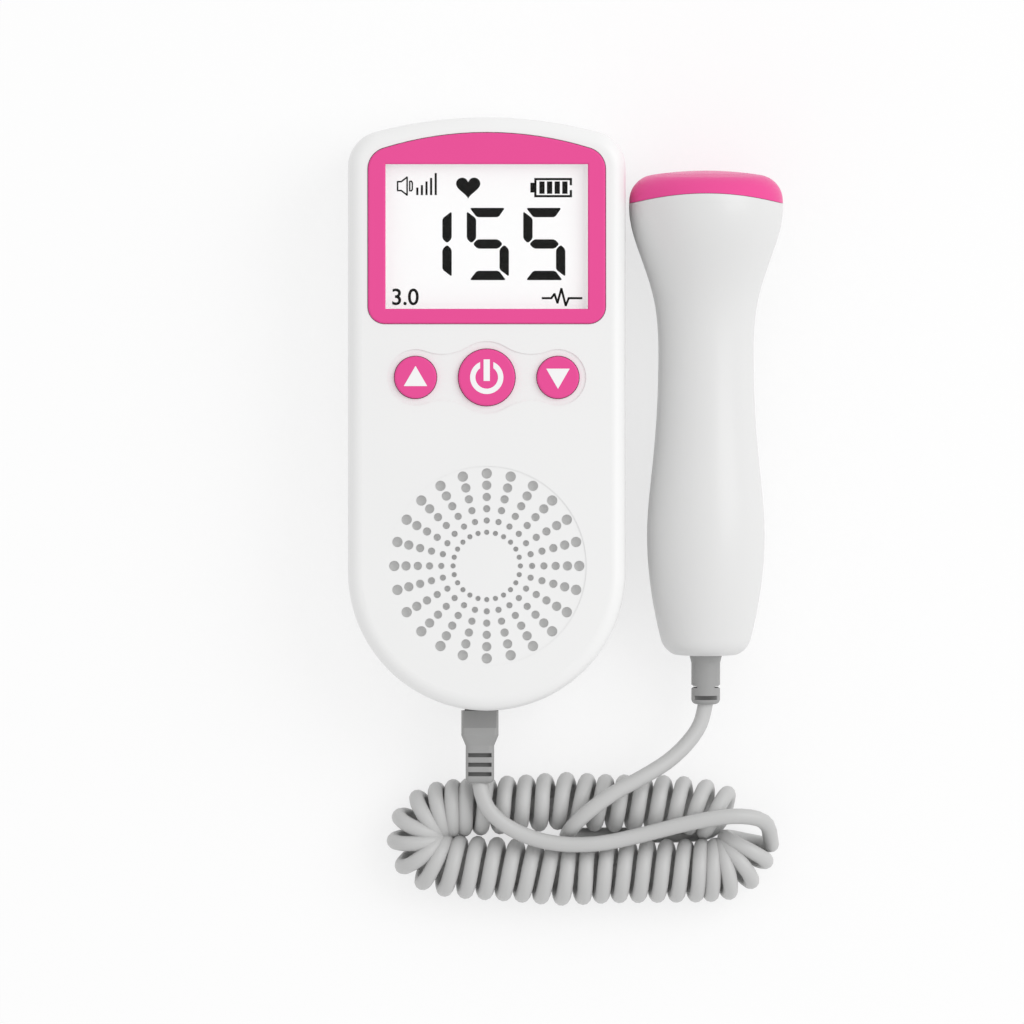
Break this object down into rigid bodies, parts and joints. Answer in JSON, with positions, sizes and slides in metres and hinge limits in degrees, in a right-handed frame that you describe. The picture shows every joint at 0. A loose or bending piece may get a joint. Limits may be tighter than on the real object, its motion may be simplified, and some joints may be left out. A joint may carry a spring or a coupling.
{
  "type": "handheld fetal doppler monitor",
  "caption": "Handheld fetal doppler monitor lying on its back: a case with a display, buttons and a speaker grille, and a waisted probe on a coiled lead.",
  "frame": {"origin": "on the flat underside (z = 0), on the case's centre line, half way along the case", "axes": "+X to the viewer's right across the face, towards the probe; +Y up the face, towards the display; +Z out of the face"},
  "size_m": [0.1005, 0.1821, 0.0357],
  "materials": {
    "white_abs": "satin",
    "pink_abs": "gloss",
    "grey_abs": "matte",
    "white_print": "matte",
    "clear_window": "polished",
    "lcd_glass": "gloss",
    "light_guide": "gloss",
    "board_green": "satin",
    "chip_black": "matte",
    "bright_steel": "bright",
    "brass": "bright",
    "black_cloth": "matte",
    "paper_cone": "matte",
    "foam": "matte",
    "ferrite": "matte",
    "cell_wrap": "satin",
    "cord_pvc": "satin",
    "plug_pvc": "satin",
    "lens_resin": "satin",
    "crystal": "matte",
    "epoxy": "matte"
  },
  "bodies": {
    "unit": {"front_shell": "white_abs", "back_shell": "white_abs", "battery_left": "cell_wrap", "battery_right": "cell_wrap", "battery_springs": "bright_steel", "battery_contacts": "bright_steel", "case_screws": "bright_steel", "board_screws": "bright_steel", "display_bezel": "pink_abs", "display_window": "clear_window", "lcd_panel": "lcd_glass", "lcd_backlight": "light_guide", "lcd_frame": "white_print", "display_pins": "bright_steel", "main_board": "board_green", "board_chips": "chip_black", "tact_switches": "chip_black", "speaker_basket": "bright_steel", "speaker_cone": "paper_cone", "speaker_magnet": "ferrite", "speaker_gasket": "foam", "speaker_cloth": "black_cloth", "probe_socket": "chip_black", "socket_contacts": "brass"},
    "power_key": {"power_button": "pink_abs", "power_mark": "white_print", "power_plunger": "chip_black"},
    "volume_up_key": {"volume_up_button": "pink_abs", "volume_up_mark": "white_print", "volume_up_plunger": "chip_black"},
    "volume_down_key": {"volume_down_button": "pink_abs", "volume_down_mark": "white_print", "volume_down_plunger": "chip_black"},
    "door": {"battery_door": "white_abs"},
    "lead": {"plug_tongue": "plug_pvc", "plug_contacts": "brass", "plug_collar": "plug_pvc", "plug_grips": "grey_abs", "plug_boot": "plug_pvc", "lead_unit_tail": "cord_pvc", "lead_curl": "cord_pvc", "lead_probe_tail": "cord_pvc"},
    "probe": {"probe_upper_shell": "white_abs", "probe_lower_shell": "white_abs", "probe_cap": "pink_abs", "acoustic_lens": "lens_resin", "transducer_crystals": "crystal", "crystal_backing": "epoxy", "probe_board": "board_green", "probe_wires": "brass", "cord_clamp": "chip_black", "probe_screws": "bright_steel", "probe_boot": "plug_pvc"}
  },
  "joints": [
    {"name": "power_press", "type": "slide", "parent": "unit", "child": "power_key", "axis": [0, 0, -1], "range_m": [0, 0.0006], "stiffness_N_per_m": 2500, "springref_m": -0.0002},
    {"name": "volume_up_press", "type": "slide", "parent": "unit", "child": "volume_up_key", "axis": [0, 0, -1], "range_m": [0, 0.0006], "stiffness_N_per_m": 2500, "springref_m": -0.0002},
    {"name": "volume_down_press", "type": "slide", "parent": "unit", "child": "volume_down_key", "axis": [0, 0, -1], "range_m": [0, 0.0006], "stiffness_N_per_m": 2500, "springref_m": -0.0002},
    {"name": "battery_door_hinge", "type": "hinge", "parent": "unit", "child": "door", "pos_m": [0, 0.0004, 0.0012], "axis": [-1, 0, 0], "range_deg": [0, 75]},
    {"name": "plug_pull", "type": "slide", "parent": "unit", "child": "lead", "axis": [0, -1, 0], "range_m": [0, 0.012]},
    {"name": "probe_lift", "type": "slide", "parent": "lead", "child": "probe", "axis": [0, 0, 1], "range_m": [0, 0.025]}
  ]
}
